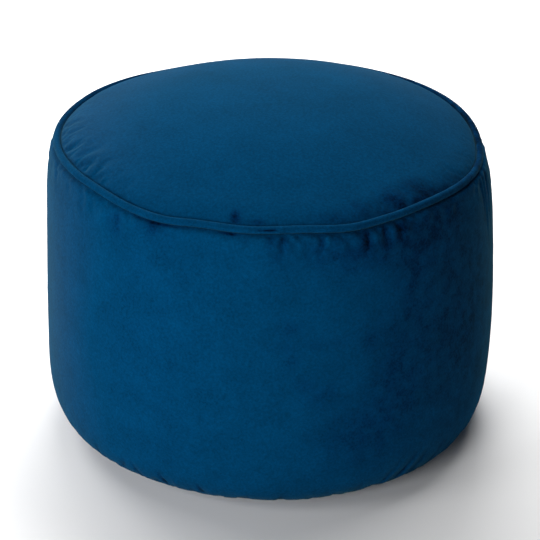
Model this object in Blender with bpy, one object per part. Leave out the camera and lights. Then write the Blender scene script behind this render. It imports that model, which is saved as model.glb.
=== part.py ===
"""A round bean bag footstool: a filled drum of velvet with a corded seam round its top.

The origin is the middle of the underside, on the floor. +Z is up and the front faces -Y.
All lengths are in metres. Azimuths are in degrees, from the front, positive towards +X.
"""

import math
from collections import namedtuple

import bmesh
import bpy
from mathutils import Vector

# Driving dimensions
TOP_RADIUS = 0.220  # from the axis to the middle of the piping
SEAM_HEIGHT = 0.3202  # from the floor to the middle of the piping
PIPING_RADIUS = 0.0038  # the covered cord
CROWN_RISE = 0.0458  # from the middle of the piping to the top of the crown
CROWN_FULLNESS = 2.3  # 2 is a plain dome, and more is flatter in the middle
FLAT_RADIUS = 0.186  # what rests on the floor
BASE_SEAM_RADIUS = 0.2065
BASE_SEAM_HEIGHT = 0.0085
BASE_ROLL = (0.2005, 0.0028)  # radius and height between the flat and the base seam
GAP = 0.0003  # between pieces that meet
SETTLE_REACH = 0.085  # how far from the top seam its unevenness fades away
BELLY_HEIGHT = 0.180
BELLY_REACH = 0.130
FOOT_HEIGHT = 0.045
FOOT_REACH = 0.080

# Mesh
SECTIONS = 80  # round the axis
CROWN_RINGS = 11
GROOVE_STEPS = 3  # in each quarter of the piping's groove
SIDE_STEPS = 2  # in each span of the side's section

# Angles round the piping's section, from straight out, where the panels leave the cord
CROWN_LEAVES = math.radians(142)
SEAM_MEETS = math.radians(180)
SIDE_LEAVES = math.radians(275)

# The side's section, from under the piping down to the base seam
Level = namedtuple("Level", "height radius")
SIDE_LEVELS = (
    Level(0.3125, 0.2263),
    Level(0.3000, 0.2294),
    Level(0.2800, 0.2325),
    Level(0.2200, 0.2362),
    Level(0.1450, 0.2390),
    Level(0.0800, 0.2388),
    Level(0.0450, 0.2358),
    Level(0.0250, 0.2290),
    Level(0.0130, 0.2175),
)

# How the filling has pushed the top seam out and up, and the belly and the foot of the
# side out, at each azimuth
Settle = namedtuple("Settle", "azimuth seam_out seam_up belly_out foot_out")
SETTLES = (
    Settle(-150, -0.0010, -0.0040, 0.0000, 0.0000),
    Settle(-135, -0.0015, -0.0005, -0.0003, 0.0003),
    Settle(-120, -0.0015, 0.0025, -0.0005, 0.0005),
    Settle(-90, 0.0010, 0.0030, -0.0010, 0.0013),
    Settle(-60, -0.0030, 0.0040, -0.0005, 0.0000),
    Settle(-50, -0.0035, 0.0035, 0.0000, -0.0005),
    Settle(-35, -0.0005, 0.0005, 0.0005, -0.0020),
    Settle(-27, 0.0005, 0.0000, 0.0005, -0.0025),
    Settle(-18, -0.0025, 0.0008, 0.0000, -0.0020),
    Settle(-5, -0.0005, 0.0000, -0.0003, -0.0010),
    Settle(8, -0.0008, 0.0000, 0.0000, 0.0000),
    Settle(20, 0.0040, -0.0015, 0.0004, 0.0010),
    Settle(30, 0.0020, -0.0010, 0.0006, 0.0015),
    Settle(45, 0.0005, -0.0003, 0.0005, 0.0015),
    Settle(65, 0.0015, -0.0030, 0.0003, 0.0000),
    Settle(75, 0.0005, -0.0040, 0.0005, -0.0008),
    Settle(90, -0.0030, -0.0035, 0.0005, -0.0012),
    Settle(120, -0.0028, -0.0020, 0.0003, -0.0005),
    Settle(150, -0.0020, -0.0035, -0.0005, 0.0000),
    Settle(180, -0.0005, -0.0045, 0.0000, 0.0005),
)

VELVET = (0.003, 0.052, 0.140, 1.0)


def clear_scene():
    for old in list(bpy.data.objects):
        bpy.data.objects.remove(old, do_unlink=True)


def cubic(before, start, end, after, share):
    """A value on the smooth curve through start and end, leaning towards their neighbours."""
    lean_in = (end - before) / 2
    lean_out = (after - start) / 2
    bend = lean_in + lean_out - 2 * (end - start)
    return start + share * (lean_in + share * (end - start - lean_in - bend * (1 - share)))


def smooth_path(points, steps):
    """The given points with further ones between them, on a smooth curve through them all."""
    path = []
    for at in range(len(points) - 1):
        four = [points[max(at - 1, 0)], points[at], points[at + 1]]
        four.append(points[min(at + 2, len(points) - 1)])
        path += [cubic(*four, step / steps) for step in range(steps)]
    return path + [points[-1]]


def fade(distance, reach):
    """1 at no distance, easing to 0 at the reach."""
    share = max(0.0, 1 - distance / reach)
    return share * share * (3 - 2 * share)


def settle_at(azimuth):
    """The settle table read at any azimuth, on a smooth closed curve through its rows."""
    azimuth = (azimuth - SETTLES[0].azimuth) % 360 + SETTLES[0].azimuth
    at = max(place for place, row in enumerate(SETTLES) if row.azimuth <= azimuth)
    before, row, following, after = (
        SETTLES[(at + step) % len(SETTLES)] for step in (-1, 0, 1, 2)
    )
    width = (following.azimuth - row.azimuth) % 360
    share = (azimuth - row.azimuth) / width
    return Settle(*(cubic(*four, share) for four in zip(before, row, following, after)))


def settled(point):
    """Where a point of the evenly turned footstool lies once the filling has settled."""
    radius = math.hypot(point.x, point.y)
    row = settle_at(math.degrees(math.atan2(point.x, -point.y)))
    seam = fade(math.hypot(radius - TOP_RADIUS, point.z - SEAM_HEIGHT), SETTLE_REACH)
    belly = fade(abs(point.z - BELLY_HEIGHT), BELLY_REACH) * radius / TOP_RADIUS
    foot = fade(max(point.z - FOOT_HEIGHT, 0), FOOT_REACH) * radius / TOP_RADIUS
    out = row.seam_out * seam + row.belly_out * belly + row.foot_out * foot
    outward = Vector((point.x, point.y, 0)).normalized()
    return point + outward * out + Vector((0, 0, row.seam_up * seam))


def velvet(name):
    material = bpy.data.materials.new(name)
    material.use_nodes = True
    shader = material.node_tree.nodes["Principled BSDF"]
    shader.inputs["Base Color"].default_value = VELVET
    shader.inputs["Roughness"].default_value = 0.8
    shader.inputs["Metallic"].default_value = 0.0
    return material


def add_piece(name, data):
    piece = bpy.data.objects.new(name, data)
    bpy.context.collection.objects.link(piece)
    data.materials.append(velvet(name + "_velvet"))
    return piece


def add_turned_piece(name, section):
    """A filled solid turned from its section of (radius, height) points, which starts and
    ends on the axis, and then settled."""
    mesh = bmesh.new()
    corners = [mesh.verts.new((radius, 0, height)) for radius, height in section]
    edges = [mesh.edges.new(pair) for pair in zip(corners, corners[1:])]
    bmesh.ops.spin(
        mesh,
        geom=corners + edges,
        axis=(0, 0, 1),
        cent=(0, 0, 0),
        angle=math.tau,
        steps=SECTIONS,
        use_merge=True,
    )
    bmesh.ops.remove_doubles(mesh, verts=mesh.verts, dist=1e-6)
    for corner in mesh.verts:
        corner.co = settled(corner.co)
    bmesh.ops.recalc_face_normals(mesh, faces=mesh.faces)
    data = bpy.data.meshes.new(name)
    mesh.to_mesh(data)
    mesh.free()
    data.shade_smooth()
    data.set_sharp_from_angle(angle=math.radians(40))
    return add_piece(name, data)


def groove(start, end, steps):
    """Points round the piping, a gap away from it, from one angle of its section to another."""
    reach = PIPING_RADIUS + GAP
    turns = [start + (end - start) * step / steps for step in range(steps + 1)]
    return [
        Vector((TOP_RADIUS + reach * math.cos(turn), SEAM_HEIGHT + reach * math.sin(turn)))
        for turn in turns
    ]


def top_panel():
    """The round top, domed by the filling, from its middle out to the seam."""
    edge = groove(CROWN_LEAVES, SEAM_MEETS, GROOVE_STEPS)
    rise = SEAM_HEIGHT + CROWN_RISE - edge[0].y
    section = []
    for ring in range(CROWN_RINGS):
        share = math.sin(ring / CROWN_RINGS * math.pi / 2)
        height = edge[0].y + rise * (1 - share**CROWN_FULLNESS)
        section.append(Vector((share * edge[0].x, height)))
    seam = edge.pop()
    section += edge
    section.append(Vector((seam.x, seam.y + GAP / 2)))
    section.append(Vector((seam.x - SETTLE_REACH / 2, seam.y + GAP / 2)))
    section.append(Vector((seam.x - SETTLE_REACH, seam.y + GAP / 2)))
    section.append(Vector((0, seam.y + GAP / 2)))
    return add_turned_piece("top_panel", section)


def side_panel():
    """The band round the side with its filling, from the top seam down to the base seam."""
    edge = groove(SEAM_MEETS, SIDE_LEAVES, 2 * GROOVE_STEPS)
    seam = edge.pop(0)
    foot = Vector((BASE_SEAM_RADIUS, BASE_SEAM_HEIGHT + GAP / 2))
    levels = [Vector((level.radius, level.height)) for level in SIDE_LEVELS]
    section = [
        Vector((0, seam.y - GAP / 2)),
        Vector((seam.x - SETTLE_REACH, seam.y - GAP / 2)),
        Vector((seam.x - SETTLE_REACH / 2, seam.y - GAP / 2)),
        Vector((seam.x, seam.y - GAP / 2)),
    ]
    section += edge[:-1]
    section += smooth_path([edge[-1]] + levels + [foot], SIDE_STEPS)
    section.append(Vector((0, foot.y)))
    return add_turned_piece("side_panel", section)


def base_panel():
    """The round underside, flat where it rests, turned up at its edge to the base seam."""
    seam_height = BASE_SEAM_HEIGHT - GAP / 2
    section = [
        (0, seam_height),
        (BASE_SEAM_RADIUS, seam_height),
        BASE_ROLL,
        (FLAT_RADIUS, 0),
        (0, 0),
    ]
    return add_turned_piece("base_panel", section)


def top_piping():
    """The covered cord in the top seam, one closed ring."""
    data = bpy.data.curves.new("top_piping", "CURVE")
    data.dimensions = "3D"
    data.bevel_depth = PIPING_RADIUS
    data.bevel_resolution = 2
    data.render_resolution_u = 0
    spline = data.splines.new("POLY")
    spline.points.add(SECTIONS - 1)
    spline.use_cyclic_u = True
    for step, point in enumerate(spline.points):
        turn = math.tau * step / SECTIONS
        place = Vector((math.cos(turn), math.sin(turn), 0)) * TOP_RADIUS
        place.z = SEAM_HEIGHT
        point.co = (*settled(place), 1)
    return add_piece("top_piping", data)


clear_scene()
top_panel()
side_panel()
base_panel()
top_piping()
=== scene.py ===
"""The looks of a round bean bag footstool in dark blue velvet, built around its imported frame.

Lengths are in metres, and columns named _mm are in millimetres. Azimuths are in degrees from
the front, which faces -Y, and grow towards +X.
"""

import math
from collections import namedtuple

import bpy
import numpy as np
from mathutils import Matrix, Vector


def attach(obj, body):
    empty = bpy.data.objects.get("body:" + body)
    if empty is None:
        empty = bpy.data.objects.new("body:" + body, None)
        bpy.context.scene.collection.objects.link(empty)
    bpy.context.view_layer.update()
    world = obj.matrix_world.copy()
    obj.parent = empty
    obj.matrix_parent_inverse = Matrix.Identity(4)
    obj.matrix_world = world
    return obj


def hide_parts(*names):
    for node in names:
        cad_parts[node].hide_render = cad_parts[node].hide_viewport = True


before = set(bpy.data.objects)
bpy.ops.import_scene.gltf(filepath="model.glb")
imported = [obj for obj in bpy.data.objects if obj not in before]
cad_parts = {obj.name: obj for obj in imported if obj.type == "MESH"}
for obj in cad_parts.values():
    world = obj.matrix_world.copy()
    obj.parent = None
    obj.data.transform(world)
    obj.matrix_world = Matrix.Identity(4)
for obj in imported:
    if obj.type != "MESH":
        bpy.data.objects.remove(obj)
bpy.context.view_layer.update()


# ---------------------------------------------------------------------------
# Camera
# One long lens, a little above the footstool, looking down at its front.
# ---------------------------------------------------------------------------
CAMERA_DISTANCE = 2.4
CAMERA_ELEVATION = math.radians(27.27)
CAMERA_LENS = 149.07
AIM = Vector((0.0005, 0, 0.1645))

camera = bpy.data.objects.new("camera", bpy.data.cameras.new("camera"))
bpy.context.collection.objects.link(camera)
camera.data.lens = CAMERA_LENS
camera.data.sensor_width = 36
camera.location = AIM + CAMERA_DISTANCE * Vector(
    (0, -math.cos(CAMERA_ELEVATION), math.sin(CAMERA_ELEVATION))
)
camera.rotation_euler = (AIM - camera.location).to_track_quat("-Z", "Y").to_euler()
bpy.context.scene.camera = camera


# ---------------------------------------------------------------------------
# Top piping
# A cord about 8 mm thick in a bias strip of the velvet, sewn into the top seam all the way
# round. The strip is pulled unevenly tight, and its ends meet in a short slit at the front.
# ---------------------------------------------------------------------------
MM = 0.001
PIPING_RADIUS = 0.0038
PIPING_SIDES = 32
PIPING_UNEVEN = 0.03
PIPING_SEED = 4.0
SEAM_RADIUS = 0.220
SEAM_HEIGHT = 0.3202
SECTIONS = 960

# How the filling has pushed the seam out and up at each azimuth
SeamRow = namedtuple("SeamRow", "azimuth out_mm up_mm")
SEAM_ROWS = (
    SeamRow(-150, -1.0, -4.0),
    SeamRow(-135, -1.5, -0.5),
    SeamRow(-120, -1.5, 2.5),
    SeamRow(-90, 1.0, 3.0),
    SeamRow(-60, -3.0, 4.0),
    SeamRow(-50, -3.5, 3.5),
    SeamRow(-35, -0.5, 0.5),
    SeamRow(-27, 0.5, 0.0),
    SeamRow(-18, -2.5, 0.8),
    SeamRow(-5, -0.5, 0.0),
    SeamRow(8, -0.8, 0.0),
    SeamRow(20, 4.0, -1.5),
    SeamRow(30, 2.0, -1.0),
    SeamRow(45, 0.5, -0.3),
    SeamRow(65, 1.5, -3.0),
    SeamRow(75, 0.5, -4.0),
    SeamRow(90, -3.0, -3.5),
    SeamRow(120, -2.8, -2.0),
    SeamRow(150, -2.0, -3.5),
    SeamRow(180, -0.5, -4.5),
)

# The slit between the ends of the strip: where it is along the seam and round the cord
SLIT_MIDDLE = -0.6
SLIT_HALF = 2.6
SLIT_TURN = 22
SLIT_WIDTH = 0.0009
SLIT_DEPTH = 0.0013
# How much painted shade darkens the slit
SLIT_SHADE = 0.85

# Painted shade along the piping, darkest at the back right and at the back left. Shade runs from
# -1, dark, to 1, pale.
StripRow = namedtuple("StripRow", "azimuth shade")
STRIP_PAINTED_SHADE = (
    StripRow(-135, -0.40),
    StripRow(-105, -0.35),
    StripRow(-85, -0.10),
    StripRow(-50, -0.05),
    StripRow(0, -0.05),
    StripRow(45, -0.15),
    StripRow(65, -0.35),
    StripRow(90, -0.55),
    StripRow(125, -0.55),
    StripRow(170, -0.40),
)


def cubic(before, start, end, after, share):
    """A value on the smooth curve through start and end, leaning towards their neighbours."""
    lean_in = (end - before) / 2
    lean_out = (after - start) / 2
    bend = lean_in + lean_out - 2 * (end - start)
    return start + share * (lean_in + share * (end - start - lean_in - bend * (1 - share)))


def read_round(table, azimuths):
    """The columns of a table read at every azimuth, on smooth closed curves through its rows."""
    rows = np.array(table, float)
    starts = rows[:, 0]
    turned_to = (azimuths - starts[0]) % 360 + starts[0]
    at = np.searchsorted(starts, turned_to, side="right") - 1
    four = [rows[(at + step) % len(rows)] for step in (-1, 0, 1, 2)]
    width = (four[2][:, 0] - four[1][:, 0]) % 360
    share = ((turned_to - four[1][:, 0]) / width)[:, None]
    return cubic(*four, share)[:, 1:].T


def fade(distance, reach):
    """1 at no distance, easing to 0 at the reach."""
    share = np.clip(1 - distance / reach, 0, 1)
    return share * share * (3 - 2 * share)


def directions(azimuths):
    """The unit vectors that point outwards at each azimuth."""
    turns = np.radians(azimuths)
    return np.stack([np.sin(turns), -np.cos(turns), np.zeros_like(turns)], axis=-1)


def turns_between(azimuths, middle):
    """The signed degrees from the middle to each azimuth, the short way round."""
    return (azimuths - middle + 180) % 360 - 180


def new_piece(name, vertices, edges, faces):
    mesh = bpy.data.meshes.new(name)
    mesh.from_pydata(vertices.tolist(), edges, faces)
    piece = bpy.data.objects.new(name, mesh)
    bpy.context.collection.objects.link(piece)
    return piece


def wire(tree, *links):
    """Each link runs from a socket to a socket."""
    for start, end in links:
        tree.links.new(start, end)


def add_node(tree, kind, **settings):
    """A node with its settings. An input is set as in1=value, by its place."""
    node = tree.nodes.new(kind)
    for name, value in settings.items():
        if name.startswith("in"):
            node.inputs[int(name[2:])].default_value = value
        else:
            setattr(node, name, value)
    return node


def sum_up(tree, *terms):
    """The sum of value sockets."""
    total = terms[0]
    for term in terms[1:]:
        adder = add_node(tree, "ShaderNodeMath", operation="ADD")
        wire(tree, (total, adder.inputs[0]), (term, adder.inputs[1]))
        total = adder.outputs[0]
    return total


def ranged(tree, value, low, high, to_low, to_high):
    """A value socket brought from one range to another."""
    mapped = add_node(tree, "ShaderNodeMapRange", in1=low, in2=high, in3=to_low, in4=to_high)
    wire(tree, (value, mapped.inputs[0]))
    return mapped.outputs[0]


def velvet_pile():
    """How the velvet is coloured: clouds of random tone where the pile was stroked, painted
    shade where the point attribute is below 0, bluer the darker it is, a painted pale sheen
    where it is above 0, and the fine grain of the pile."""
    group = bpy.data.node_groups.new("velvet_pile", "ShaderNodeTree")
    for name in ("Dye", "Bloom"):
        group.interface.new_socket(name, in_out="INPUT", socket_type="NodeSocketColor")
    for name in ("Clouds", "Cloud size", "Grain", "Grain size"):
        group.interface.new_socket(name, in_out="INPUT", socket_type="NodeSocketFloat")
    group.interface.new_socket("Colour", in_out="OUTPUT", socket_type="NodeSocketColor")
    for name in ("Roughness", "Height"):
        group.interface.new_socket(name, in_out="OUTPUT", socket_type="NodeSocketFloat")
    given = add_node(group, "NodeGroupInput")
    result = add_node(group, "NodeGroupOutput")
    place = add_node(group, "ShaderNodeTexCoord")
    clouds = add_node(group, "ShaderNodeTexNoise", in3=4.5, in4=0.66, in7=0.8)
    grain = add_node(group, "ShaderNodeTexNoise", in3=2.0, in4=0.7)
    ragged = add_node(group, "ShaderNodeTexNoise", in2=75.0, in3=3.0, in4=0.55, in7=0.7)
    nap = add_node(group, "ShaderNodeAttribute", attribute_name="nap")
    for noise, size in ((clouds, "Cloud size"), (grain, "Grain size")):
        scale = add_node(group, "ShaderNodeMath", operation="DIVIDE", in0=1.0)
        wire(group, (given.outputs[size], scale.inputs[1]), (scale.outputs[0], noise.inputs[2]))
    for noise in (clouds, grain, ragged):
        wire(group, (place.outputs["Object"], noise.inputs[0]))
    parts = []
    for noise, strength in ((clouds, "Clouds"), (grain, "Grain")):
        spread = ranged(group, noise.outputs[0], 0.3, 0.7, -1.0, 1.0)
        part = add_node(group, "ShaderNodeMath", operation="MULTIPLY")
        wire(group, (spread, part.inputs[0]), (given.outputs[strength], part.inputs[1]))
        parts.append(part.outputs[0])
    blotch_shading = add_node(group, "ShaderNodeMath", operation="MULTIPLY")
    broken = ranged(group, ragged.outputs[0], 0.38, 0.62, 0.5, 1.3)
    # The painted shade: the attribute below 0, broken up by the ragged noise
    darkened_part = add_node(group, "ShaderNodeMath", operation="MINIMUM", in1=0.0)
    wire(
        group,
        (nap.outputs["Fac"], darkened_part.inputs[0]),
        (darkened_part.outputs[0], blotch_shading.inputs[0]),
        (broken, blotch_shading.inputs[1]),
    )
    one = add_node(group, "ShaderNodeValue")
    one.outputs[0].default_value = 1.0
    shade = sum_up(group, one.outputs[0], *parts, blotch_shading.outputs[0])
    shade_least = add_node(group, "ShaderNodeMath", operation="MAXIMUM", in1=0.12)
    dyed = add_node(group, "ShaderNodeVectorMath", operation="SCALE")
    # In the painted shade the green of the dye falls, so the shade is bluer
    painted_shade_tint = add_node(group, "ShaderNodeCombineXYZ", in0=1.0, in2=1.0)
    dye_in_painted_shade = add_node(group, "ShaderNodeVectorMath", operation="MULTIPLY")
    # A painted pale sheen, added where the attribute is above 0
    painted_sheen = add_node(group, "ShaderNodeVectorMath", operation="SCALE")
    with_painted_sheen = add_node(group, "ShaderNodeVectorMath", operation="ADD")
    wire(
        group,
        (shade, shade_least.inputs[0]),
        (given.outputs["Dye"], dyed.inputs[0]),
        (shade_least.outputs[0], dyed.inputs["Scale"]),
        (ranged(group, blotch_shading.outputs[0], -0.6, 0.0, 0.74, 1.0), painted_shade_tint.inputs[1]),
        (dyed.outputs[0], dye_in_painted_shade.inputs[0]),
        (painted_shade_tint.outputs[0], dye_in_painted_shade.inputs[1]),
        (given.outputs["Bloom"], painted_sheen.inputs[0]),
        (ranged(group, nap.outputs["Fac"], 0.0, 1.0, 0.0, 1.0), painted_sheen.inputs["Scale"]),
        (dye_in_painted_shade.outputs[0], with_painted_sheen.inputs[0]),
        (painted_sheen.outputs[0], with_painted_sheen.inputs[1]),
        (with_painted_sheen.outputs[0], result.inputs["Colour"]),
        (ranged(group, clouds.outputs[0], 0.3, 0.7, 0.82, 0.95), result.inputs["Roughness"]),
        (grain.outputs[0], result.inputs["Height"]),
    )
    return group


# The group that paints shade and a pale sheen into the velvet's colour, with its pile grain
pile = velvet_pile()


def velvet(name, clouds, cloud_size, dye=(0.0003, 0.0358, 0.0965, 1)):
    """Dark blue velvet: a deep dye under a short pile, which gives it a faint sheen."""
    material = bpy.data.materials.new(name)
    material.use_nodes = True
    tree = material.node_tree
    shader = tree.nodes["Principled BSDF"]
    shader.inputs["Specular IOR Level"].default_value = 0.0
    shader.inputs["Sheen Weight"].default_value = 0.06
    shader.inputs["Sheen Roughness"].default_value = 0.4
    shader.inputs["Sheen Tint"].default_value = (0.42, 0.84, 0.52, 1)
    # The group paints shade and a pale sheen into the colour
    looks = add_node(tree, "ShaderNodeGroup", node_tree=pile)
    looks.inputs["Dye"].default_value = dye
    # The colour of the painted pale sheen
    looks.inputs["Bloom"].default_value = (0.021, 0.009, 0.002, 1)
    looks.inputs["Clouds"].default_value = clouds
    looks.inputs["Cloud size"].default_value = cloud_size
    looks.inputs["Grain"].default_value = 0.22
    looks.inputs["Grain size"].default_value = 0.0024
    bump = add_node(tree, "ShaderNodeBump")
    bump.inputs["Strength"].default_value = 0.35
    bump.inputs["Distance"].default_value = 0.0004
    wire(
        tree,
        (looks.outputs["Colour"], shader.inputs["Base Color"]),
        (looks.outputs["Roughness"], shader.inputs["Roughness"]),
        (looks.outputs["Height"], bump.inputs["Height"]),
        (bump.outputs[0], shader.inputs["Normal"]),
    )
    return material


def seam_line(azimuths):
    """The middle of the piping at each azimuth, as radii and heights."""
    out, up = read_round(SEAM_ROWS, azimuths)
    return SEAM_RADIUS + out * MM, SEAM_HEIGHT + up * MM


def corded_piping():
    """Geometry nodes that turn a closed line into a cord in its velvet strip."""
    group = bpy.data.node_groups.new("corded_piping", "GeometryNodeTree")
    geometry = "NodeSocketGeometry"
    group.interface.new_socket("Line", in_out="INPUT", socket_type=geometry)
    for name in ("Radius", "Unevenness", "Seed"):
        group.interface.new_socket(name, in_out="INPUT", socket_type="NodeSocketFloat")
    group.interface.new_socket("Sides", in_out="INPUT", socket_type="NodeSocketInt")
    group.interface.new_socket("Velvet", in_out="INPUT", socket_type="NodeSocketMaterial")
    group.interface.new_socket("Piping", in_out="OUTPUT", socket_type=geometry)
    given = add_node(group, "NodeGroupInput")
    result = add_node(group, "NodeGroupOutput")
    curve = add_node(group, "GeometryNodeMeshToCurve")
    ring = add_node(group, "GeometryNodeCurvePrimitiveCircle")
    sweep = add_node(group, "GeometryNodeCurveToMesh")
    noise = add_node(group, "ShaderNodeTexNoise", noise_dimensions="4D", in2=45.0, in3=1.0)
    spread = add_node(group, "ShaderNodeMath", operation="MULTIPLY_ADD", in1=2.0, in2=-1.0)
    thickness = add_node(group, "ShaderNodeMath", operation="MULTIPLY_ADD", in2=1.0)
    smooth = add_node(group, "GeometryNodeSetShadeSmooth")
    covered = add_node(group, "GeometryNodeSetMaterial")
    real = add_node(group, "GeometryNodeRealizeInstances")
    wire(
        group,
        (given.outputs["Line"], curve.inputs[0]),
        (given.outputs["Seed"], noise.inputs["W"]),
        (noise.outputs[0], spread.inputs[0]),
        (spread.outputs[0], thickness.inputs[0]),
        (given.outputs["Unevenness"], thickness.inputs[1]),
        (given.outputs["Sides"], ring.inputs["Resolution"]),
        (given.outputs["Radius"], ring.inputs["Radius"]),
        (curve.outputs[0], sweep.inputs["Curve"]),
        (ring.outputs["Curve"], sweep.inputs["Profile Curve"]),
        (thickness.outputs[0], sweep.inputs["Scale"]),
        (sweep.outputs[0], smooth.inputs["Geometry"]),
        (smooth.outputs[0], covered.inputs["Geometry"]),
        (given.outputs["Velvet"], covered.inputs["Material"]),
        (covered.outputs[0], real.inputs[0]),
        (real.outputs[0], result.inputs["Piping"]),
    )
    return group


def made_real(piece, group, **inputs):
    """The piece with a geometry nodes group's result as its own plain mesh."""
    modifier = piece.modifiers.new(group.name, "NODES")
    modifier.node_group = group
    sockets = {s.name: s.identifier for s in group.interface.items_tree if s.in_out == "INPUT"}
    for name, value in inputs.items():
        modifier[sockets[name]] = value
    bpy.context.view_layer.update()
    evaluated = piece.evaluated_get(bpy.context.evaluated_depsgraph_get())
    piece.data = bpy.data.meshes.new_from_object(evaluated)
    piece.modifiers.remove(modifier)
    return piece


azimuths = np.arange(SECTIONS) * 360 / SECTIONS
line_radii, line_heights = seam_line(azimuths)
line = directions(azimuths) * line_radii[:, None]
line[:, 2] = line_heights
line_edges = [(at, (at + 1) % SECTIONS) for at in range(SECTIONS)]
piping = new_piece("piping", line, line_edges, [])
piping_velvet = velvet("velvet_piping", clouds=0.10, cloud_size=0.012)
made_real(
    piping,
    corded_piping(),
    Radius=PIPING_RADIUS,
    Unevenness=PIPING_UNEVEN,
    Seed=PIPING_SEED,
    Sides=PIPING_SIDES,
    Velvet=piping_velvet,
)


def coordinates(mesh):
    """The mesh's points as rows."""
    points = np.empty(len(mesh.vertices) * 3)
    mesh.vertices.foreach_get("co", points)
    return points.reshape(-1, 3)


def put_coordinates(mesh, points):
    mesh.vertices.foreach_set("co", points.ravel())
    mesh.update()


points = coordinates(piping.data)
point_azimuths = np.degrees(np.arctan2(points[:, 0], -points[:, 1]))
middle_radii, middle_heights = seam_line(point_azimuths)
middle = directions(point_azimuths) * middle_radii[:, None]
middle[:, 2] = middle_heights
from_middle = points - middle
outwards = np.hypot(points[:, 0], points[:, 1]) - middle_radii
round_cord = np.degrees(np.arctan2(from_middle[:, 2], outwards))
across = np.radians(turns_between(round_cord, SLIT_TURN)) * PIPING_RADIUS
along_slit = abs(turns_between(point_azimuths, SLIT_MIDDLE)) / SLIT_HALF
slit = SLIT_DEPTH * np.exp(-((across / SLIT_WIDTH) ** 2)) * (1 - np.clip(along_slit, 0, 1) ** 4)
put_coordinates(piping.data, points - from_middle * (slit / PIPING_RADIUS)[:, None])
# Painted shade along the strip, and deeper painted shade in the slit
strip_painted_shade = read_round(STRIP_PAINTED_SHADE, point_azimuths)[0] - SLIT_SHADE * slit / SLIT_DEPTH
nap = piping.data.attributes.new("nap", "FLOAT", "POINT")
nap.data.foreach_set("value", strip_painted_shade)
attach(piping, "root")
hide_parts("top_piping")


# ---------------------------------------------------------------------------
# Top panel
# A disc of velvet, eased into the seam and blown up by the beans into a low crown. Small
# gathers run in from the seam, strongest at the left. Painted shade lies along the seam and in
# the gathers at the front, and a painted pale sheen over the back and the left of the crown.
# ---------------------------------------------------------------------------
CROWN_RISE = 0.0458
CROWN_FULLNESS = 2.3
CROWN_REACH = 0.085
CROWN_RINGS = 60
CLEARANCE = 0.0003
CROWN_LEAVES = math.radians(166)
CROWN_PUFF = 0.0034
PUFF_REACH = 0.0045
SHOULDER_PUFF = 0.0008
SEAM_MEETS = math.radians(180)

# The simulation of a band of cloth along a seam
BAND_SECTIONS = 240
FINER = SECTIONS // BAND_SECTIONS
BAND_STEP = 0.0055
GATHERED_IN = 0.022
CLOTH_FRAMES = 16
CLOTH_QUALITY = 4
CLOTH_MASS = 0.3
CLOTH_STRETCH = 15
CLOTH_BEND = 5
FILLING_PUSH = 4
FILLING_DRAG = 0.12
CLOTH_JITTER = 0.0001
MOST_MOVED = 0.003
# How much painted shade and highlight a fold gets for each mm of its depth
FOLD_SHADE = 0.16

TOP_BAND_WIDTH = 0.085
TOP_GATHER_REACH = 0.045
TOP_BAND_SEED = 11
TOP_GATHER_SEED = 21
TOP_GATHER_MM = 30
LEAST_RELIEF = 0.2
CENTRE_RADIUS = 0.02

# Soft folds that start near the seam. A minus depth is a ridge. Lean is in degrees.
Crease = namedtuple("Crease", "azimuth lean start_mm length_mm width_mm depth_mm")
TOP_CREASES = (
    Crease(-88, -2.0, 1, 26, 2.6, 0.7),
    Crease(-84, -2.5, 1, 34, 2.4, 0.9),
    Crease(-80, -2.0, 1, 30, 2.4, 0.9),
    Crease(-76, -2.5, 1, 38, 2.6, 1.1),
    Crease(-72, -2.0, 1, 28, 2.4, 0.9),
    Crease(-67, -2.5, 1, 36, 2.8, 1.1),
    Crease(-62, -1.5, 1, 26, 2.4, 0.8),
    Crease(-57, -1.5, 1, 30, 2.8, 0.9),
    Crease(-52, -1.0, 1, 20, 2.6, 0.6),
    Crease(-9, -1.5, 0, 17, 3.0, 1.0),
    Crease(19, 1.0, 0, 12, 3.0, 0.5),
    Crease(26, 1.0, 0, 16, 3.5, 0.6),
    Crease(35.5, 0.5, 0, 20, 4.0, 0.9),
    Crease(45.4, 1.5, 2, 24, 5.0, 0.8),
    Crease(61, 0.8, 0, 9, 2.0, 0.5),
    Crease(64.5, 0.8, 0, 8, 2.0, 0.4),
    Crease(68.3, 1.0, 0, 10, 2.0, 0.5),
    Crease(74, 1.5, 0, 14, 2.2, 0.5),
)

# Where the seam gathers the velvet, from 0 to 1: the side panel and the top panel
GatherRow = namedtuple("GatherRow", "azimuth side top")
GATHER_ROWS = (
    GatherRow(-170, 0.5, 0.15),
    GatherRow(-140, 0.5, 0.15),
    GatherRow(-110, 0.4, 0.3),
    GatherRow(-85, 0.4, 0.9),
    GatherRow(-65, 0.6, 1.0),
    GatherRow(-50, 0.7, 0.6),
    GatherRow(-35, 0.5, 0.2),
    GatherRow(-20, 0.1, 0.1),
    GatherRow(-8, 0.4, 0.25),
    GatherRow(6, 0.9, 0.2),
    GatherRow(20, 1.0, 0.3),
    GatherRow(33, 0.9, 0.5),
    GatherRow(50, 0.4, 0.35),
    GatherRow(70, 0.7, 0.25),
    GatherRow(90, 0.5, 0.1),
    GatherRow(120, 0.4, 0.1),
    GatherRow(150, 0.5, 0.15),
)

# Blotches of painted light on the velvet: painted shade where they are dark, painted highlight
# or pale sheen where they are pale. Shade runs from -1, dark, to 1, pale.
Blotch = namedtuple("Blotch", "azimuth down_mm wide_mm long_mm shade")
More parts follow.
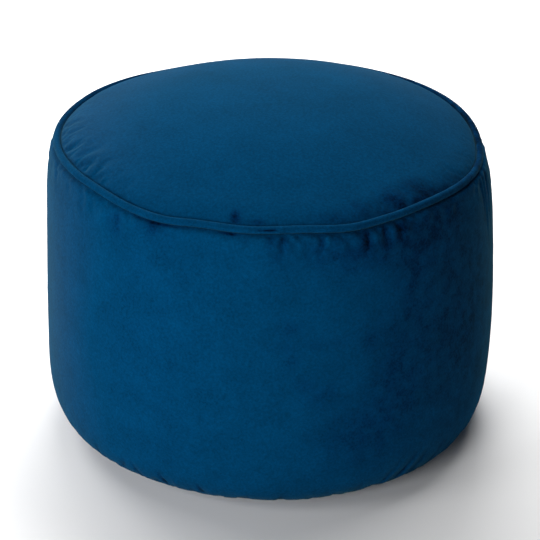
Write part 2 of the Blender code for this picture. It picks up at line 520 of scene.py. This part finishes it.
# On the top: painted shade along the piping and in the gathers near it at the front, and a
# painted pale sheen over the back and the left of the crown
TOP_PAINTED_LIGHT = (
    Blotch(-9, 9, 5, 8, -0.55),
    Blotch(-3, 5, 8, 4, -0.25),
    Blotch(16, 8, 14, 8, -0.24),
    Blotch(24, 12, 12, 11, -0.28),
    Blotch(31, 10, 12, 10, -0.26),
    Blotch(36, 9, 12, 16, -0.42),
    Blotch(43, 16, 22, 11, -0.24),
    Blotch(46, 10, 15, 13, -0.24),
    Blotch(57, 8, 20, 8, -0.20),
    Blotch(46, 2, 52, 5, -0.34),
    Blotch(180, 40, 260, 60, 0.34),
    Blotch(-90, 20, 130, 50, 0.15),
)


def closed_mesh(name, points):
    """A mesh of a grid of points, closed round its first axis and with a pole at each end of
    its second."""
    around, along = points.shape[:2]
    here = np.arange(around)
    there = (here + 1) % around
    inner = points[:, 1:-1]
    vertices = np.concatenate([inner.reshape(-1, 3), points[:1, 0], points[:1, -1]])
    rings = along - 2
    first, last = around * rings, around * rings + 1
    end = rings - 1
    faces = [[first, int(a), int(b)] for a, b in zip(here * rings, there * rings)]
    for step in range(end):
        corners = (here * rings + step, here * rings + step + 1)
        corners += (there * rings + step + 1, there * rings + step)
        faces += np.stack(corners, axis=1).tolist()
    faces += [[last, int(b), int(a)] for a, b in zip(here * rings + end, there * rings + end)]
    piece = new_piece(name, vertices, [], faces)
    piece.data.shade_smooth()
    return piece


def groove(start, end, steps):
    """Offsets round the piping from one angle of its section to another."""
    turns = np.linspace(start, end, steps)
    reach = PIPING_RADIUS + CLEARANCE
    return np.stack([np.cos(turns), np.sin(turns)], axis=-1) * reach


def turned(section, azimuths):
    """The points of a section turned to each azimuth and moved with the uneven seam."""
    out, up = read_round(SEAM_ROWS, azimuths)
    away = np.hypot(section[:, 0] - SEAM_RADIUS, section[:, 1] - SEAM_HEIGHT)
    near = fade(away, CROWN_REACH)
    radii = section[:, 0] + out[:, None] * MM * near
    points = directions(azimuths)[:, None] * radii[..., None]
    points[..., 2] = section[:, 1] + up[:, None] * MM * near
    return points


def lengths_along(section):
    """How far along a section each of its points lies."""
    return np.concatenate([[0], np.cumsum(np.hypot(*np.diff(section, axis=0).T))])


def outward_normals(points):
    round_way = np.roll(points, -1, 0) - np.roll(points, 1, 0)
    down_way = np.gradient(points, axis=1)
    normals = np.cross(down_way, round_way)
    return normals / np.linalg.norm(normals, axis=2, keepdims=True)


def weight_group(piece, name, weights):
    group = piece.vertex_groups.new(name=name)
    rounded = np.round(weights.ravel(), 2)
    for value in np.unique(rounded[rounded > 0]):
        group.add(np.flatnonzero(rounded == value).tolist(), float(value), "REPLACE")
    return group.name


def gathered_band(band, gathers, seed):
    """How far each point of a band of cloth moves outwards once its seams have gathered it and
    the filling has pushed it out: a simulation of the band, held along both its edges."""
    around, along = band.shape[:2]
    normals = outward_normals(band)
    jitter = np.random.default_rng(seed).normal(0, CLOTH_JITTER, (around, along, 1))
    jitter[:, [0, -1]] = 0
    index = np.arange(around * along).reshape(around, along)
    after = np.roll(index, -1, 0)
    faces = np.stack([index[:, :-1], index[:, 1:], after[:, 1:], after[:, :-1]], axis=-1)
    start = (band + normals * jitter).reshape(-1, 3)
    piece = new_piece("band", start, [], faces.reshape(-1, 4).tolist())
    held = FILLING_DRAG * (1 - gathers) ** 2
    held[:, [0, -1]] = 1
    cloth = piece.modifiers.new("cloth", "CLOTH")
    cloth.collision_settings.use_collision = False
    cloth.point_cache.frame_end = CLOTH_FRAMES
    settings = cloth.settings
    settings.quality = CLOTH_QUALITY
    settings.mass = CLOTH_MASS
    settings.tension_stiffness = CLOTH_STRETCH
    settings.compression_stiffness = CLOTH_STRETCH
    settings.shear_stiffness = 5
    settings.bending_stiffness = CLOTH_BEND
    settings.use_pressure = True
    settings.uniform_pressure_force = FILLING_PUSH
    settings.effector_weights.gravity = 0
    settings.vertex_group_mass = weight_group(piece, "held", held)
    settings.vertex_group_shrink = weight_group(piece, "even", 1 - gathers)
    settings.shrink_min = -GATHERED_IN
    settings.shrink_max = 0
    for step in range(1, CLOTH_FRAMES + 1):
        bpy.context.scene.frame_set(step)
    evaluated = piece.evaluated_get(bpy.context.evaluated_depsgraph_get())
    moved = coordinates(evaluated.to_mesh()).reshape(band.shape) - band
    evaluated.to_mesh_clear()
    bpy.data.objects.remove(piece)
    bpy.context.scene.frame_set(1)
    outward = (moved * normals).sum(axis=2)
    outward -= outward.mean(axis=0)
    return MOST_MOVED * np.tanh(outward / MOST_MOVED)


def finer(values, times):
    """Values round a closed band, on smooth curves with this many steps for each one."""
    four = [np.roll(values, -step, 0) for step in (-1, 0, 1, 2)]
    steps = [cubic(*four, step / times) for step in range(times)]
    return np.stack(steps, axis=1).reshape(-1, values.shape[1])


def at_lengths(values, step, lengths):
    """Values at even steps along a band, read at other lengths along it."""
    place = np.clip(lengths / step, 0, values.shape[1] - 1)
    at = np.minimum(place.astype(int), values.shape[1] - 2)
    ends = [np.clip(at + way, 0, values.shape[1] - 1) for way in (-1, 0, 1, 2)]
    return cubic(*(values[:, end] for end in ends), place - at)


def creased(rows, azimuths, lengths, radius):
    """How deep the given soft folds are, in metres, at each azimuth and length from the seam."""
    depth = np.zeros((len(azimuths), len(lengths)))
    for row in rows:
        share = (lengths / MM - row.start_mm) / row.length_mm
        path = row.azimuth + row.lean * np.clip(share, 0, 1.2) ** 1.5
        across = np.radians(turns_between(azimuths[:, None], path)) * radius / MM
        profile = np.exp(-((across / row.width_mm) ** 2))
        taper = np.clip(share / 0.18, 0, 1) * fade(np.clip(share, 0, 1), 1)
        depth += row.depth_mm * MM * profile * taper
    return depth


def fine_gathers(strengths, seed, longest_mm, radius):
    """Small random folds along a seam, more where it is gathered more. Strength is by degree."""
    rng = np.random.default_rng(seed)
    rows = []
    azimuth = -180.0
    while azimuth < 180:
        strength = float(np.interp(azimuth, np.arange(-180, 181), strengths))
        length = longest_mm * rng.uniform(0.25, 1.0) * (0.4 + 0.6 * strength)
        depth = 0.55 * strength * rng.uniform(0.2, 1.0)
        lean = rng.normal(0, 1.0)
        rows.append(Crease(azimuth, lean, 0, length, rng.uniform(1.4, 2.4), depth))
        azimuth += math.degrees(rng.uniform(0.0055, 0.0095) / radius)
    return tuple(rows)


def blotch_shading(blotches, azimuths, lengths, radius):
    """The shade at each point, painted shade where dark and painted sheen or highlight where
    pale: the sum of the soft blotches.
    """
    shade = np.zeros((len(azimuths), len(lengths)))
    for blotch in blotches:
        across = np.radians(turns_between(azimuths, blotch.azimuth)) * radius / MM
        down = lengths / MM - blotch.down_mm
        wide = np.exp(-((across / blotch.wide_mm) ** 2))
        shade += blotch.shade * wide[:, None] * np.exp(-((down / blotch.long_mm) ** 2))
    return shade


def painted_fold_light(rows, azimuths, lengths, radius, shade=FOLD_SHADE):
    """Painted shade in the given folds, and a painted highlight on their ridges, by their depth.
    """
    return -shade * creased(rows, azimuths, lengths, radius) / MM


def mark_nap_and_painted_light(piece, shade):
    """The attribute of a panel that carries its painted shade, painted highlights and painted
    pale sheen, with a few darker patches, from a value for each point of its grid.
    """
    values = np.concatenate([shade[:, 1:-1].ravel(), [0, 0]])
    piece.data.attributes.new("nap", "FLOAT", "POINT").data.foreach_set("value", values)


edge = groove(CROWN_LEAVES, SEAM_MEETS, 4)
edge_radius = SEAM_RADIUS + edge[0, 0]
edge_height = SEAM_HEIGHT + edge[0, 1]


def crown_height(share):
    """The crown's height: a low dome that drops steeply into the seam at its edge."""
    inside = (1 - share) * edge_radius
    dome = (CROWN_RISE - CROWN_PUFF - edge[0, 1]) * (1 - share**CROWN_FULLNESS)
    puff = CROWN_PUFF * (1 - np.exp(-inside / PUFF_REACH))
    shoulder = SHOULDER_PUFF * np.exp(-(((inside - 0.02) / 0.012) ** 2))
    return edge_height + dome + puff + shoulder


share = np.sin(np.linspace(0, math.pi / 2, CROWN_RINGS, endpoint=False))
share[-6:] = np.linspace(share[-7], 1, 8)[1:-1]
crown = np.stack([share * edge_radius, crown_height(share)], axis=-1)
rim = edge[:-1] + (SEAM_RADIUS, SEAM_HEIGHT)
under_height = SEAM_HEIGHT + CLEARANCE / 2
under_radii = [SEAM_RADIUS + edge[-1, 0] - CROWN_REACH * part for part in (0, 0.5, 1)] + [0]
under = np.array([(radius, under_height) for radius in under_radii])
top_section = np.concatenate([crown, rim, under])
top_points = turned(top_section, azimuths)

fine_path = np.linspace(1, 0.4, 400)
fine_crown = np.stack([fine_path * edge_radius, crown_height(fine_path)], axis=-1)
crown_lengths = lengths_along(fine_crown)
from_rim = np.interp(-crown[:, 0], -fine_crown[:, 0], crown_lengths)
band_lengths = np.arange(0, TOP_BAND_WIDTH, BAND_STEP)
band_share = np.interp(band_lengths, crown_lengths, fine_path)
band_section = np.stack([band_share * edge_radius, crown_height(band_share)], axis=-1)
band_azimuths = np.arange(BAND_SECTIONS) * 360 / BAND_SECTIONS
by_degree = read_round(GATHER_ROWS, np.arange(-180, 181))
band_gather = read_round(GATHER_ROWS, band_azimuths).clip(0, 1)

crown_moved = np.zeros((SECTIONS, CROWN_RINGS))
gathers = band_gather[1][:, None] * fade(band_lengths, TOP_GATHER_REACH)
inner_first = turned(band_section, band_azimuths)[:, ::-1]
outward = gathered_band(inner_first, gathers[:, ::-1], TOP_BAND_SEED)[:, ::-1]
crown_moved = at_lengths(finer(outward, FINER), BAND_STEP, from_rim)
crown_moved *= 1 - fade(abs(band_lengths[-1] - from_rim), 0.02)
crown_moved[:, from_rim >= band_lengths[-1]] = 0
gathered = read_round(GATHER_ROWS, azimuths)[1][:, None].clip(0, 1)
crown_moved *= LEAST_RELIEF + (1 - LEAST_RELIEF) * gathered
fine = fine_gathers(by_degree[1], TOP_GATHER_SEED, TOP_GATHER_MM, SEAM_RADIUS)
crown_moved -= creased(TOP_CREASES + fine, azimuths, from_rim, crown[:, 0])
crown_moved *= np.clip(from_rim / 0.003, 0, 1)
near = np.flatnonzero(crown[:, 0] > CENTRE_RADIUS)
crown_normals = outward_normals(top_points[:, :CROWN_RINGS][:, near])
top_points[:, near] += crown_normals * crown_moved[:, near, None]
top_cover = closed_mesh("top_cover", top_points)
# Painted shade in the blotches and the folds, painted highlights on the fold ridges, and a
# painted pale sheen on the back and the left
top_shade = np.zeros(top_points.shape[:2])
top_shade[:, :CROWN_RINGS] = blotch_shading(TOP_PAINTED_LIGHT, azimuths, from_rim, SEAM_RADIUS)
top_shade[:, :CROWN_RINGS] += painted_fold_light(TOP_CREASES, azimuths, from_rim, crown[:, 0])
mark_nap_and_painted_light(top_cover, top_shade)
top_cover.data.materials.append(velvet("velvet_top", clouds=0.10, cloud_size=0.05))
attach(top_cover, "root")
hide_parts("top_panel")


# ---------------------------------------------------------------------------
# Side panel
# One long strip of velvet round the footstool, gathered a little into the piping above and
# into the base seam below, and bellied out by the filling. Its folds are deepest at the front
# right and at the far right.
# ---------------------------------------------------------------------------
SIDE_LEAVES = math.radians(296)
BASE_SEAM_RADIUS = 0.2065
BASE_SEAM_HEIGHT = 0.0085
BELLY_HEIGHT = 0.180
BELLY_REACH = 0.130
FOOT_HEIGHT = 0.045
FOOT_REACH = 0.080
# How much painted shade and highlight the folds at the foot get for each mm of depth
FOOT_SHADE = 0.32
SIDE_BAND_SEED = 12
SIDE_GATHER_SEED = 22
SIDE_GATHER_MM = 24
FOOT_GATHER_SEED = 23
FOOT_GATHER_MM = 16

# The outline of the side, from the piping down to the base seam
Level = namedtuple("Level", "height radius")
SIDE_LEVELS = (
    Level(0.3125, 0.2268),
    Level(0.3000, 0.2294),
    Level(0.2800, 0.2325),
    Level(0.2200, 0.2362),
    Level(0.1450, 0.2390),
    Level(0.0800, 0.2388),
    Level(0.0450, 0.2358),
    Level(0.0250, 0.2290),
    Level(0.0130, 0.2175),
)

# How far the filling pushes the side out at its belly and at its foot
SideRow = namedtuple("SideRow", "azimuth belly_mm foot_mm")
SIDE_ROWS = (
    SideRow(-150, 0.0, 0.0),
    SideRow(-135, -0.3, 0.3),
    SideRow(-120, -0.5, 0.5),
    SideRow(-90, -1.0, 1.3),
    SideRow(-60, -0.5, 0.0),
    SideRow(-50, 0.0, -0.5),
    SideRow(-35, 0.5, -2.0),
    SideRow(-27, 0.5, -2.5),
    SideRow(-18, 0.0, -2.0),
    SideRow(-5, -0.3, -1.0),
    SideRow(8, 0.0, 0.0),
    SideRow(20, 0.4, 1.0),
    SideRow(30, 0.6, 1.5),
    SideRow(45, 0.5, 1.5),
    SideRow(65, 0.3, 0.0),
    SideRow(75, 0.5, -0.8),
    SideRow(90, 0.5, -1.2),
    SideRow(120, 0.3, -0.5),
    SideRow(150, -0.5, 0.0),
    SideRow(180, 0.0, 0.5),
)

# Folds that hang from the piping
SIDE_CREASES = (
    Crease(-68.6, 0.5, 1, 12, 2.2, -0.7),
    Crease(-62.6, 0.5, 1, 12, 2.2, -0.7),
    Crease(-54, 0.5, 0, 12, 3.0, 1.1),
    Crease(-48.5, 0.5, 0, 13, 3.0, 1.1),
    Crease(-41, 1.0, 1, 34, 4.0, 1.4),
    Crease(-36, 0.5, 1, 20, 3.0, -0.7),
    Crease(-30, 0.0, 1, 16, 6.0, 1.0),
    Crease(-25, 0.0, 1, 12, 3.0, -0.5),
    Crease(-9.2, 0.0, 0, 9, 3.0, 0.9),
    Crease(-5.4, -0.3, 2, 13, 3.0, 0.9),
    Crease(0.4, -0.6, 0, 22, 3.4, 1.2),
    Crease(3.7, -1.7, 0, 32, 3.0, 2.2),
    Crease(12.7, -1.5, 0, 34, 3.0, 2.5),
    Crease(14.3, -0.8, 2, 26, 2.8, -1.3),
    Crease(24.4, -1.4, 0, 38, 3.2, 2.5),
    Crease(26.2, -0.6, 4, 28, 3.0, -1.3),
    Crease(29.2, -0.4, 0, 36, 3.2, 2.2),
    Crease(31.5, 0.0, 4, 26, 3.0, -1.2),
    Crease(33.6, 0.4, 3, 30, 3.2, 1.6),
    Crease(38.5, 0.4, 0, 22, 3.2, 1.0),
    Crease(42.8, 0.4, 1, 16, 3.0, -0.8),
    Crease(68.4, 2.4, 1, 58, 2.2, 1.3),
    Crease(69.6, 3.0, 1, 80, 2.0, -0.9),
    Crease(70.9, 3.9, 0, 110, 2.2, 2.4),
    Crease(72.4, 4.1, 1, 100, 2.0, -1.2),
    Crease(74.0, 4.4, 0, 100, 2.2, 2.4),
    Crease(75.6, 4.2, 1, 90, 2.0, -1.1),
    Crease(77.2, 4.0, 0, 84, 2.2, 1.6),
    Crease(80.0, 3.0, 0, 60, 2.4, 1.0),
)

# Folds that rise from the base seam
FOOT_CREASES = (
    Crease(-64, 3.0, 24, 32, 3.4, 0.9),
    Crease(-52, 3.0, 20, 34, 3.4, 1.5),
    Crease(-49.2, 2.4, 20, 26, 2.8, 1.0),
    Crease(-42.2, 3.0, 18, 34, 3.4, 1.4),
    Crease(-36.6, -1.6, 17, 32, 2.6, 2.4),
    Crease(-34.4, -3.0, 18, 34, 2.4, -1.2),
    Crease(-30.8, -1.5, 14, 26, 3.0, 0.8),
    Crease(-28.4, -1.6, 17, 32, 2.6, 2.4),
    Crease(-24.6, -3.0, 16, 34, 2.4, -1.2),
    Crease(-20.4, -1.0, 13, 24, 3.0, 0.8),
    Crease(-17.6, -1.8, 16, 28, 2.8, 2.0),
    Crease(-15.2, -3.0, 16, 28, 2.4, -1.0),
    Crease(-6, 0.5, 12, 24, 3.0, 0.7),
    Crease(3, 0.5, 12, 28, 3.2, 1.1),
    Crease(14, 1.0, 12, 24, 3.0, 0.7),
    Crease(22.8, 1.4, 14, 30, 3.0, 1.1),
    Crease(29.0, 8.0, 15, 50, 2.6, 1.5),
    Crease(30.8, 8.5, 16, 50, 2.4, -1.2),
    Crease(34.0, 10.0, 16, 58, 2.6, 1.9),
    Crease(35.8, 10.5, 17, 56, 2.4, -1.5),
    Crease(38.8, 8.0, 17, 50, 2.8, 1.6),
    Crease(46.4, 4.0, 19, 40, 3.2, 1.6),
    Crease(52.5, 3.0, 20, 36, 3.4, 1.5),
    Crease(61, 2.4, 23, 34, 3.4, 1.0),
)

# Blotches down the side, by how far below the piping they lie: painted shade in the line under
# the piping, in and round the folds and over the right and the left, painted highlights on the
# far right folds, a painted pale sheen at the left, and a few smaller darker patches and a
# faint line in the middle
SIDE_PAINTED_LIGHT_AND_PATCHES = (
    Blotch(-9.5, 1.5, 10, 1.4, -0.8),
    Blotch(2.2, 16, 10, 14, -0.20),
    Blotch(23.5, 10, 8, 14, -0.22),
    Blotch(34, 12, 9, 12, -0.35),
    Blotch(-29, 1.3, 26, 1.6, -0.50),
    Blotch(-30, 9, 16, 9, -0.14),
    Blotch(-42, 15, 12, 15, -0.12),
    Blotch(-52, 9, 8, 10, -0.14),
    Blotch(-78, 150, 110, 190, 0.33),
    Blotch(70.7, 22, 2.4, 24, -0.40),
    Blotch(72.6, 26, 2.0, 28, 0.55),
    Blotch(74.4, 24, 2.4, 26, -0.40),
    Blotch(76.2, 26, 2.0, 26, 0.50),
    Blotch(27, 20, 26, 24, -0.25),
    Blotch(40, 28, 30, 34, -0.22),
    Blotch(50, 16, 36, 24, -0.20),
    Blotch(58, 130, 75, 150, -0.38),
    Blotch(-34, 130, 75, 260, -0.08),
    Blotch(32, 180, 28, 60, -0.26),
    Blotch(37, 75, 18, 45, -0.20),
    Blotch(14, 14, 24, 16, -0.18),
    Blotch(20, 32, 34, 16, -0.15),
    Blotch(22, 228, 36, 34, -0.24),
    Blotch(-50, 150, 40, 70, -0.08),
    Blotch(5, 100, 10, 9, -0.16),
    Blotch(5, 135, 7, 9, -0.20),
    Blotch(13, 174, 15, 12, -0.18),
    Blotch(8, 162, 9, 8, -0.14),
    Blotch(24, 120, 10, 12, -0.14),
    Blotch(11, 118, 45, 4, -0.12),
)


def smooth_path(points, steps):
    """The given points with further ones between them, on a smooth curve through them all."""
    path = []
    for at in range(len(points) - 1):
        four = [points[max(at - 1, 0)], points[at], points[at + 1]]
        four.append(points[min(at + 2, len(points) - 1)])
        path += [cubic(*four, step / steps) for step in range(steps)]
    return np.array(path + [points[-1]])


def spread_side(section, azimuths):
    """The points of a section turned to each azimuth, moved with the seam and the filling."""
    points = turned(section, azimuths)
    belly, foot_out = read_round(SIDE_ROWS, azimuths)
    inward = section[:, 0] / SEAM_RADIUS
    belly_share = fade(abs(section[:, 1] - BELLY_HEIGHT), BELLY_REACH) * inward
    foot_share = fade(np.maximum(section[:, 1] - FOOT_HEIGHT, 0), FOOT_REACH) * inward
    out = (belly[:, None] * belly_share + foot_out[:, None] * foot_share) * MM
    return points + directions(azimuths)[:, None] * out[..., None]


side_edge = groove(SEAM_MEETS, SIDE_LEAVES, 7) + (SEAM_RADIUS, SEAM_HEIGHT)
foot = np.array((BASE_SEAM_RADIUS, BASE_SEAM_HEIGHT + CLEARANCE / 2))
levels = [np.array((level.radius, level.height)) for level in SIDE_LEVELS]
wall = smooth_path([side_edge[-1]] + levels + [foot], 8)
lid_height = SEAM_HEIGHT - CLEARANCE / 2
lid = np.array([(radius, lid_height) for radius in under_radii[::-1]])
side_section = np.concatenate([lid, side_edge[1:-1], wall, [(0, foot[1])]])
side_points = spread_side(side_section, azimuths)
wall_from = len(lid) + len(side_edge) - 2
wall_rows = slice(wall_from, wall_from + len(wall))
down_wall = lengths_along(wall)
wall_length = down_wall[-1]

wall_moved = np.zeros((SECTIONS, len(wall)))
band_count = round(wall_length / BAND_STEP)
band_step = wall_length / band_count
band_lengths = np.arange(band_count + 1) * band_step
band_section = np.stack([np.interp(band_lengths, down_wall, way) for way in wall.T], axis=-1)
gathers = band_gather[0][:, None] * fade(band_lengths, 0.055)
gathers += 0.5 * fade(wall_length - band_lengths, 0.045)
side_band = spread_side(band_section, band_azimuths)
outward = gathered_band(side_band, gathers.clip(0, 1), SIDE_BAND_SEED)
wall_moved = at_lengths(finer(outward, FINER), band_step, down_wall)
fine = fine_gathers(by_degree[0], SIDE_GATHER_SEED, SIDE_GATHER_MM, SEAM_RADIUS)
wall_moved -= creased(SIDE_CREASES + fine, azimuths, down_wall, wall[:, 0])
up_wall = wall_length - down_wall
foot_strengths = 0.2 + 0.15 * by_degree[0]
fine = fine_gathers(foot_strengths, FOOT_GATHER_SEED, FOOT_GATHER_MM, BASE_SEAM_RADIUS)
wall_moved -= creased(FOOT_CREASES + fine, azimuths, up_wall, wall[:, 0])
wall_moved *= np.clip(down_wall / 0.002, 0, 1) * np.clip(up_wall / 0.002, 0, 1)
side_points[:, wall_rows] += outward_normals(side_points[:, wall_rows]) * wall_moved[..., None]
side_cover = closed_mesh("side_cover", side_points)
side_shade = np.zeros(side_points.shape[:2])
# Painted shade and highlights: the blotches, and the folds painted darker in their troughs and
# paler on their ridges
side_shade[:, wall_rows] = blotch_shading(SIDE_PAINTED_LIGHT_AND_PATCHES, azimuths, down_wall, SEAM_RADIUS)
side_shade[:, wall_rows] += painted_fold_light(SIDE_CREASES, azimuths, down_wall, wall[:, 0])
side_shade[:, wall_rows] += painted_fold_light(FOOT_CREASES, azimuths, up_wall, wall[:, 0], FOOT_SHADE)
mark_nap_and_painted_light(side_cover, side_shade)
# The side's dye is painted about 8% lighter than the rest of the same velvet
side_dye_painted_lighter = (0.0003, 0.0388, 0.1045, 1)
side_velvet = velvet("velvet_side", clouds=0.12, cloud_size=0.032, dye=side_dye_painted_lighter)
side_cover.data.materials.append(side_velvet)
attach(side_cover, "root")
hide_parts("side_panel")


# ---------------------------------------------------------------------------
# Base panel
# A disc of the same velvet that closes the bottom, sewn to the side with no piping. The
# filling presses it flat on the floor, and its edge rolls up to the base seam.
# ---------------------------------------------------------------------------
FLAT_RADIUS = 0.186
BASE_ROLL = (0.2005, 0.0028)
base_seam = BASE_SEAM_HEIGHT - CLEARANCE / 2
base_corners = [(BASE_SEAM_RADIUS, base_seam), BASE_ROLL, (FLAT_RADIUS, 0)]
base_roll = smooth_path([np.array(corner) for corner in base_corners], 5)
base_roll[:, 1] = np.maximum(base_roll[:, 1], 0)
base_section = np.concatenate([[(0, base_seam)], base_roll, [(0.12, 0)], [(0, 0)]])
base_points = spread_side(base_section, azimuths)
base_cover = closed_mesh("base_cover", base_points)
base_cover.data.materials.append(velvet("velvet_base", clouds=0.12, cloud_size=0.05))
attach(base_cover, "root")
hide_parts("base_panel")


# ---------------------------------------------------------------------------
# Studio
# A pale floor under large soft lights: the key low at the front left, two behind, high up.
# ---------------------------------------------------------------------------
LIGHT_DISTANCE = 2.2
LIT_MIDDLE = Vector((0, 0, 0.2))
AMBIENT = 0.04
FLOOR_REACH = 9
SoftLight = namedtuple("SoftLight", "name azimuth elevation power size")
SOFT_LIGHTS = (
    SoftLight("key_light", -30, 12, 29, 1.0),
    SoftLight("left_light", -60, 24, 13, 1.0),
    SoftLight("back_light", -178, 47, 47, 1.4),
    SoftLight("back_left_light", -125, 45, 12, 1.2),
    SoftLight("back_right_light", 140, 66, 21, 1.2),
    SoftLight("rim_light", -145, 14, 30, 1.0),
)

for soft in SOFT_LIGHTS:
    light = bpy.data.lights.new(soft.name, "AREA")
    light.shape = "DISK"
    light.energy = soft.power
    light.size = soft.size
    lamp = bpy.data.objects.new(soft.name, light)
    bpy.context.collection.objects.link(lamp)
    turn, rise = math.radians(soft.azimuth), math.radians(soft.elevation)
    flat = math.cos(rise)
    away = Vector((math.sin(turn) * flat, -math.cos(turn) * flat, math.sin(rise)))
    lamp.location = LIT_MIDDLE + away * LIGHT_DISTANCE
    lamp.rotation_euler = away.to_track_quat("Z", "Y").to_euler()

world = bpy.data.worlds.new("studio")
world.use_nodes = True
background = world.node_tree.nodes["Background"]
background.inputs["Color"].default_value = (1, 1, 1, 1)
background.inputs["Strength"].default_value = AMBIENT
bpy.context.scene.world = world

floor_corners = np.array([(-1, -1, 0), (1, -1, 0), (1, 1, 0), (-1, 1, 0)]) * FLOOR_REACH
floor = new_piece("floor", floor_corners, [], [(0, 1, 2, 3)])
pale = bpy.data.materials.new("pale_floor")
pale.use_nodes = True
paint = pale.node_tree.nodes["Principled BSDF"]
paint.inputs["Base Color"].default_value = (0.9, 0.9, 0.9, 1)
paint.inputs["Roughness"].default_value = 0.9
floor.data.materials.append(pale)
bpy.context.scene.view_settings.view_transform = "Standard"
